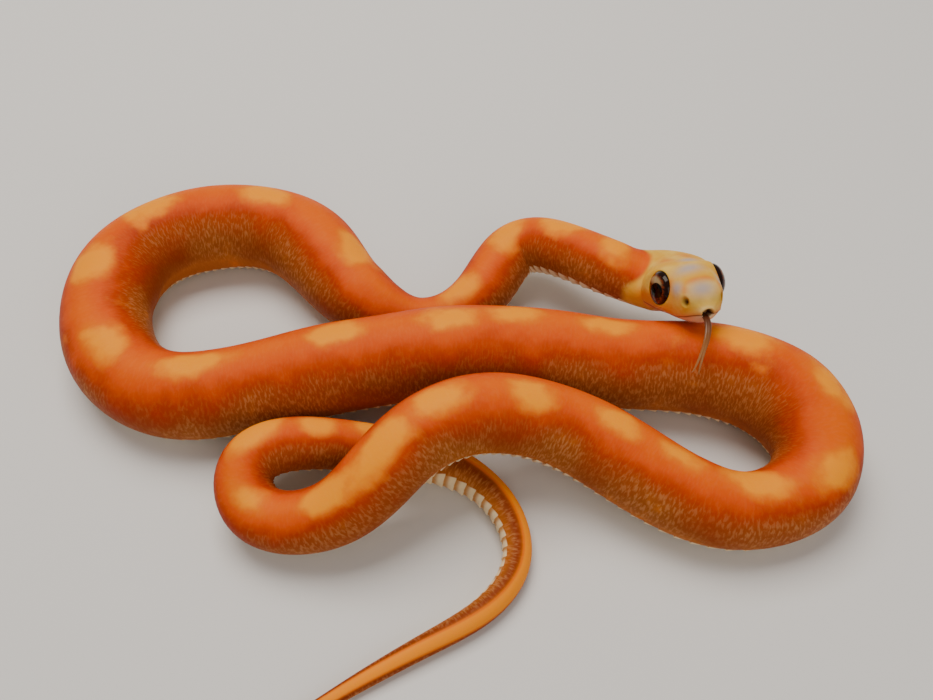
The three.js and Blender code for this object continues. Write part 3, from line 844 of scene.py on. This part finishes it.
# %% [markdown]
# ### Bare snake skin
# It is skin without scales: soft, thin and slightly damp to the eye, with a satin sheen, and light goes a
# little way into it. First come its colours: orange along the back, red and then brown down the flanks, and
# cream on the belly plates. Both noises let the borders wander, so that no edge follows the body exactly.

# %% Colours of the skin
BACK_BANDS = [  # share of the way round from the back to the belly, and the colour there
    (0.0, "E86600"), (0.15, "DC5200"), (0.28, "B03200"), (0.38, "A03400"), (0.50, "943E08"),
    (0.60, "984810"), (0.67, "B05C10"),
]
FACE_PAINTS = [
    ("olive", 0.45, "A8903C"), ("amber", 0.75, "E07C08"), ("lilac", 0.9, "B4A8AC"), ("lips", 0.7, "DE8A66"),
    ("pale", 0.7, "F2DCA4"),
]
BELLY_EDGE = (0.71, 0.73)  # where the belly plates begin, as a share of the way round
TAIL_SIDES = (0.83, 0.87)  # where the flanks turn to the tail's own brown, as a share of the length


def back_colour(tree, marks, mottle, cloud):
    """The bands of the back and the flanks, the yellow blotches with their orange rims, and on the tail the
    brown sides, the dark edges and the yellow stripe."""
    level = wandering(tree, marks["from_back"], (mottle, 0.16), (cloud, 0.36))
    bands = add_node(tree, "ValToRGB", Fac=level)
    elements = bands.node.color_ramp.elements
    while len(elements) < len(BACK_BANDS):
        elements.new(0.5)
    for element, (position, colour) in zip(elements, BACK_BANDS):
        element.position = position
        element.color = linear(colour)
    ragged = wandering(tree, marks["blotch"], (mottle, 0.9), (cloud, 1.3))
    colour = coat(tree, bands, "E87400", (ragged, 0.15, 0.55))
    colour = coat(tree, colour, "FF9C00", (ragged, 0.38, 0.85))
    colour = coat(tree, colour, "B25C12", (marks["tailward"], *TAIL_SIDES))
    colour = coat(tree, colour, "7A1602", marks["tail_edge"])
    colour = coat(tree, colour, "E87000", (marks["stripe"], 0.05, 0.5))
    return coat(tree, colour, "FF9600", (marks["stripe"], 0.45, 0.95))


def belly_colour(tree, marks, colour):
    """Cream plates over the colour given: their side edges are small teeth, their rear edges tan."""
    phase = marks["scute_phase"]
    tooth = add_node(tree, "Math", TIMES_PLUS, in_0=phase, in_1=0.03, in_2=marks["from_top"])
    cream = coat(tree, "C48A50", "F4DDB4", (tooth, *BELLY_EDGE), (phase, 0.1, 0.6))
    return coat(tree, colour, cream, (tooth, *BELLY_EDGE))


def face_colour(tree, marks, mottle):
    """Two mottled yellows, the patches and the pink lips over them, and a cream chin."""
    face = coat(tree, "E4AC2C", "EFC65C", (mottle, 0.35, 0.7))
    for mark, strength, paint in FACE_PAINTS:
        face = coat(tree, face, paint, marks[mark], strength=strength)
    return coat(tree, face, "E8CBA4", marks["on_head"], (marks["from_back"], 0.68, 0.8))


# %% [markdown]
# Two patterns give the skin life: mottling about a millimetre wide, and wrinkles across the body, a fraction
# of a millimetre apart and paler on their crests. The wrinkles follow the body because their noise is read
# along its own length and girth, stretched three times across.

# %% Skin material
SKIN_IOR = 1.4
SKIN_ROUGHNESS = 0.5
WRINKLE_SPACING = 0.24  # mm
WRINKLE_STRETCH = 3.0
WRINKLE_DEPTH = 0.00006  # m
MOTTLE_PAIR = 2.2  # mm from one light patch to the next but one, as for the clouds and the pores
CLOUD_PAIR = 7.0
PORE_PAIR = 0.22


def skin_material():
    material, tree = new_material("bare_snake_skin")
    marks = {kept.name: add_node(tree, "Attribute", {"attribute_name": kept.name}, "Fac")
             for kept in skin.data.attributes if kept.data_type == "FLOAT"}
    room = add_node(tree, "TexCoord", out="Object")
    mottle, cloud, pores = (
        add_node(tree, "TexNoise", Vector=room, Scale=1 / MM / pair, Detail=detail)
        for pair, detail in ((MOTTLE_PAIR, 4.0), (CLOUD_PAIR, 3.0), (PORE_PAIR, 2.0)))
    lie = add_node(tree, "Attribute", {"attribute_name": "lie"}, "Vector")
    squeeze = (1 / WRINKLE_SPACING, 1 / WRINKLE_SPACING / WRINKLE_STRETCH, 1.0)
    lie = add_node(tree, "Mapping", Vector=lie, Scale=squeeze)
    wrinkle = add_node(tree, "TexNoise", Vector=lie, Scale=1.0, Detail=3.0, Distortion=0.25)

    flank = cover(tree, (marks["from_back"], 0.22, 0.38), (marks["from_back"], 0.72, 0.56))
    # Paler tan in cloudy patches along both flanks, where the wrinkle crests are paler too.
    pale_flank = cover(tree, flank, (cloud, 0.3, 0.6))
    crests = add_node(tree, "Math", TIMES_PLUS, in_0=pale_flank, in_1=0.26, in_2=0.05)
    colour = back_colour(tree, marks, mottle, cloud)
    colour = coat(tree, colour, "A66428", pale_flank, strength=0.4)
    colour = coat(tree, colour, "E8A468", (wrinkle, 0.44, 0.64), crests)
    colour = belly_colour(tree, marks, colour)
    colour = coat(tree, colour, face_colour(tree, marks, mottle), (marks["on_head"], 0.25, 0.75))
    # Painted shade: the dark mask darkens the nostrils, the tongue's notch, the mouth's slit and the crevice
    # round each eye.
    colour = coat(tree, colour, "3A140A", marks["dark"])

    rippled = add_node(tree, "Math", TIMES_PLUS, in_0=flank, in_1=0.9, in_2=0.25)
    ripple = cover(tree, wrinkle, rippled)
    height = add_node(tree, "Math", TIMES_PLUS, in_0=pores, in_1=0.12, in_2=ripple)
    relief = add_node(tree, "Bump", Strength=0.75, Distance=WRINKLE_DEPTH, Height=height)
    rough = add_node(tree, "Math", TIMES_PLUS, in_0=mottle, in_1=0.16, in_2=SKIN_ROUGHNESS - 0.08)
    shader = add_node(tree, "BsdfPrincipled", Base_Color=colour, Roughness=rough, Normal=relief, IOR=SKIN_IOR,
                      Subsurface_Weight=0.06, Subsurface_Scale=0.0008, Subsurface_Radius=(1.0, 0.32, 0.12),
                      Specular_IOR_Level=0.1)
    add_node(tree, "OutputMaterial", Surface=shader)
    return material


skin.data.materials.append(skin_material())
FLESH = ["head", "lower_jaw"] + [n for n in sorted(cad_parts) if n.startswith(("neck", "body", "tail"))]
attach(skin, "root")
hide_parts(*FLESH)
print("skin replaces", len(FLESH), "solids")

# %% [markdown]
# ## The eyes
# Each eye is a flattened dome. The real one has depth behind its clear cap, but a glossy surface with the
# pupil and the iris painted in rings, and a painted reflection of the light as a pale crescent over the upper
# iris, looks the same. The rings are drawn on the dome's own map, which is its shadow along the eye's axis.

# %% Eye domes
EYE_RINGS = 40
EYE_AROUND = 96
PUPIL_AHEAD = 0.3  # the gaze is turned ahead of the socket's axis, in eye radii


def eye_points(side):
    """A closed flattened ball: rings from the middle of the dome to the middle of its back."""
    polar = np.linspace(0, math.pi, EYE_RINGS + 1)[1:-1, None]
    turn = np.linspace(0, 2 * math.pi, EYE_AROUND, endpoint=False)[None, :]
    axis = eye_axis(side)
    level = unit(np.cross([0, 0, 1.0], axis))
    upward = np.cross(axis, level)
    aside = EYE_RADIUS * np.sin(polar) * np.cos(turn)
    up = EYE_RADIUS * np.sin(polar) * np.sin(turn)
    out = EYE_HALF_DEPTH * np.cos(polar) + 0 * turn
    rings = aside[..., None] * level + up[..., None] * upward + out[..., None] * axis
    poles = np.stack([axis, -axis]) * EYE_HALF_DEPTH
    points = np.concatenate([rings.reshape(-1, 3), poles]) + EYE_PLACE * [1, side, 1]
    shadow = np.column_stack([np.r_[-side * aside.ravel(), 0, 0], np.r_[up.ravel(), 0, 0]]) / EYE_RADIUS
    return from_head(points), shadow


def make_eye(name, side):
    points, shadow = eye_points(side)
    eye = make_piece(name, points, closed_tube(EYE_RINGS - 1, EYE_AROUND))
    keep(eye, shadow=np.column_stack([shadow, np.zeros(len(shadow))]))
    return eye


def eye_material():
    """A wet, clear cap over a red-brown iris: very smooth, so it mirrors the lights as a sharp glint."""
    material, tree = new_material("wet_eye_cap")
    shadow = add_node(tree, "Attribute", {"attribute_name": "shadow"}, "Vector")
    gaze = add_node(tree, "VectorMath", {"operation": "SUBTRACT"}, in_0=shadow,
                    in_1=(PUPIL_AHEAD, 0.0, 0.0))
    height = add_node(tree, "SeparateXYZ", out=1, Vector=gaze)
    outer, inner = (
        add_node(tree, "VectorMath", {"operation": "LENGTH"}, "Value", in_0=v) for v in (shadow, gaze))
    streaks = add_node(tree, "TexNoise", Vector=shadow, Scale=9.0, Detail=5.0)
    iris = coat(tree, "2E0E05", "7A3212", (streaks, 0.35, 0.65))
    # Painted reflection: a pale grey-tan crescent over the upper iris stands for the light mirrored in the
    # wet cap.
    iris = coat(tree, iris, "A08A62", (height, 0.22, 0.5), (outer, 0.82, 0.66))
    colour = coat(tree, iris, "010101", (inner, 0.47, 0.42))
    colour = coat(tree, colour, "1E0A05", (outer, 0.78, 0.9))
    shader = add_node(tree, "BsdfPrincipled", Base_Color=colour, Roughness=0.12, IOR=1.36,
                      Specular_IOR_Level=0.4)
    add_node(tree, "OutputMaterial", Surface=shader)
    return material


wet_eye = eye_material()
for name, side in (("eye_right", 1), ("eye_left", -1)):
    eye = make_eye(name + "_dome", side)
    eye.data.materials.append(wet_eye)
    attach(eye, "root")
    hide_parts(name)
print("eyes: two domes of", round(2 * EYE_RADIUS, 1), "mm")

# %% [markdown]
# ## The tongue
# A snake's tongue is a flat, limp strap that forks near its end into two fine tines. We carry an oval along
# a curve twice, once for each tine. The two ovals overlap in the strap and part at the fork, and a union
# makes one closed surface of them.

# %% Tongue
TONGUE_PATH = np.array([
    [3.1, 0.15, -1.7], [4.7, 0.15, -1.65], [6.1, 0.4, -2], [7.2, 1, -3.1], [7.7, 1.7, -4.2],
    [7.95, 2.3, -5.5], [8.05, 2.75, -6.4],
])
TONGUE_STEPS = 90
TONGUE_AROUND = 24
FORK_AT = 0.6  # share of the way out
FORK_SPREAD = 0.4
STRAP_OVERLAP = 0.1  # how far each oval's middle is from the strap's own
STRAP_HALF_WIDTH = 0.25
STRAP_HALF_THICKNESS = 0.15
TIP_HALF = 0.06


def tine_points(side):
    """One tine with its half of the strap: an oval, thinner towards the tip, whose middle leaves the
    strap's own sideways once past the fork."""
    t = np.linspace(0, 1, TONGUE_STEPS)
    line = spline(TONGUE_PATH, t)
    along = unit(np.gradient(line, axis=0))
    aside = unit(np.cross(along, np.cross([0, 1.0, 0], along)))
    over = np.cross(along, aside)
    apart = STRAP_OVERLAP + FORK_SPREAD * np.clip((t - FORK_AT) / (1 - FORK_AT), 0, 1) ** 1.5
    wide = STRAP_HALF_WIDTH + (TIP_HALF - STRAP_HALF_WIDTH) * step_up(t, 0.35, 1.0)
    thick = STRAP_HALF_THICKNESS + (TIP_HALF - STRAP_HALF_THICKNESS) * step_up(t, 0.4, 1.0)
    middle = line + side * apart[:, None] * aside
    turn = np.linspace(0, 2 * math.pi, TONGUE_AROUND, endpoint=False)
    ring = wide[:, None, None] * np.cos(turn)[None, :, None] * aside[:, None, :]
    ring = ring + thick[:, None, None] * np.sin(turn)[None, :, None] * over[:, None, :]
    return middle[:, None, :] + ring


def make_tine(name, side):
    rings = tine_points(side)
    ends = np.stack([rings[0].mean(0), rings[-1].mean(0)])
    points = from_head(np.concatenate([rings.reshape(-1, 3), ends]))
    return make_piece(name, points, closed_tube(TONGUE_STEPS, TONGUE_AROUND))


def join_tines(first, second):
    """The union of both tines as one piece, worked out once and kept as a plain mesh."""
    union = first.modifiers.new("union", "BOOLEAN")
    union.operation = "UNION"
    union.object = second
    evaluated = first.evaluated_get(bpy.context.evaluated_depsgraph_get())
    mesh = bpy.data.meshes.new_from_object(evaluated)
    first.modifiers.clear()
    first.data = mesh
    bpy.data.objects.remove(second)
    mesh.polygons.foreach_set("use_smooth", np.ones(len(mesh.polygons), bool))
    return first


def way_out(piece):
    """How far out each point of the tongue is, from 0 at its root to 1 at the tips."""
    points = np.empty(3 * len(piece.data.vertices), np.float32)
    piece.data.vertices.foreach_get("co", points)
    line = from_head(spline(TONGUE_PATH, np.linspace(0, 1, TONGUE_STEPS)))
    gaps = np.linalg.norm(points.reshape(-1, 1, 3) / MM - line[None], axis=2)
    return np.argmin(gaps, axis=1) / (TONGUE_STEPS - 1)


tongue = join_tines(make_tine("tongue_strap", 1), make_tine("second_tine", -1))
keep(tongue, outward=way_out(tongue))


def tongue_material():
    """Moist muscle under a thin skin: dark brown where it leaves the mouth, tan and a little see-through
    in colour at the tips."""
    material, tree = new_material("moist_tongue")
    outward = add_node(tree, "Attribute", {"attribute_name": "outward"}, "Fac")
    colour = coat(tree, "4A2015", "A8703E", (outward, 0.25, 0.75))
    colour = coat(tree, colour, "8A5230", (outward, 0.85, 1.0))
    shader = add_node(tree, "BsdfPrincipled", Base_Color=colour, Roughness=0.28, IOR=1.4,
                      Subsurface_Weight=0.1, Subsurface_Scale=0.0006)
    add_node(tree, "OutputMaterial", Surface=shader)
    return material


tongue.data.materials.append(tongue_material())
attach(tongue, "root")
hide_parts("tongue")
print("tongue:", len(tongue.data.polygons), "faces")

# %% [markdown]
# ## Floor and light
# A plain pale floor and soft light from large panels, as in a small studio: one broad panel above and
# behind for the sheen on the back, and a weaker one in front, so that the near flank isn't black.

# %% Floor and lights
FLOOR_HALF = 1.5  # m
PANEL_AIM = np.array([0, 0, 0.005])
floor_mesh = bpy.data.meshes.new("floor")
floor_corners = [(FLOOR_HALF * x, FLOOR_HALF * y, 0) for x, y in ((-1, -1), (1, -1), (1, 1), (-1, 1))]
floor_mesh.from_pydata(floor_corners, [], [(0, 1, 2, 3)])
floor = bpy.data.objects.new("floor", floor_mesh)
bpy.context.scene.collection.objects.link(floor)
floor_material, floor_tree = new_material("matt_card")
card = add_node(floor_tree, "BsdfPrincipled", Base_Color="E4E7EC", Roughness=0.8)
add_node(floor_tree, "OutputMaterial", Surface=card)
floor.data.materials.append(floor_material)


def add_panel(name, place, size, power):
    """A square area light that faces the middle of the model."""
    data = bpy.data.lights.new(name, "AREA")
    data.size = size
    data.energy = power
    data.color = linear("FFF3E2")[:3]
    panel = bpy.data.objects.new(name, data)
    panel.location = place
    reach = np.array(place) - PANEL_AIM
    flat = math.hypot(reach[0], reach[1])
    panel.rotation_euler = (math.atan2(flat, reach[2]), 0, math.atan2(reach[0], -reach[1]))
    bpy.context.scene.collection.objects.link(panel)


add_panel("panel_over", (-0.06, 0.14, 0.36), 0.26, 1.5)
add_panel("panel_front", (0.16, -0.34, 0.26), 0.3, 0.5)
world = bpy.data.worlds.new("soft_room")
world.use_nodes = True
world.node_tree.nodes["Background"].inputs["Color"].default_value = linear("F2ECE4")
world.node_tree.nodes["Background"].inputs["Strength"].default_value = 0.3
bpy.context.scene.world = world
print("lights: two panels and a pale room")
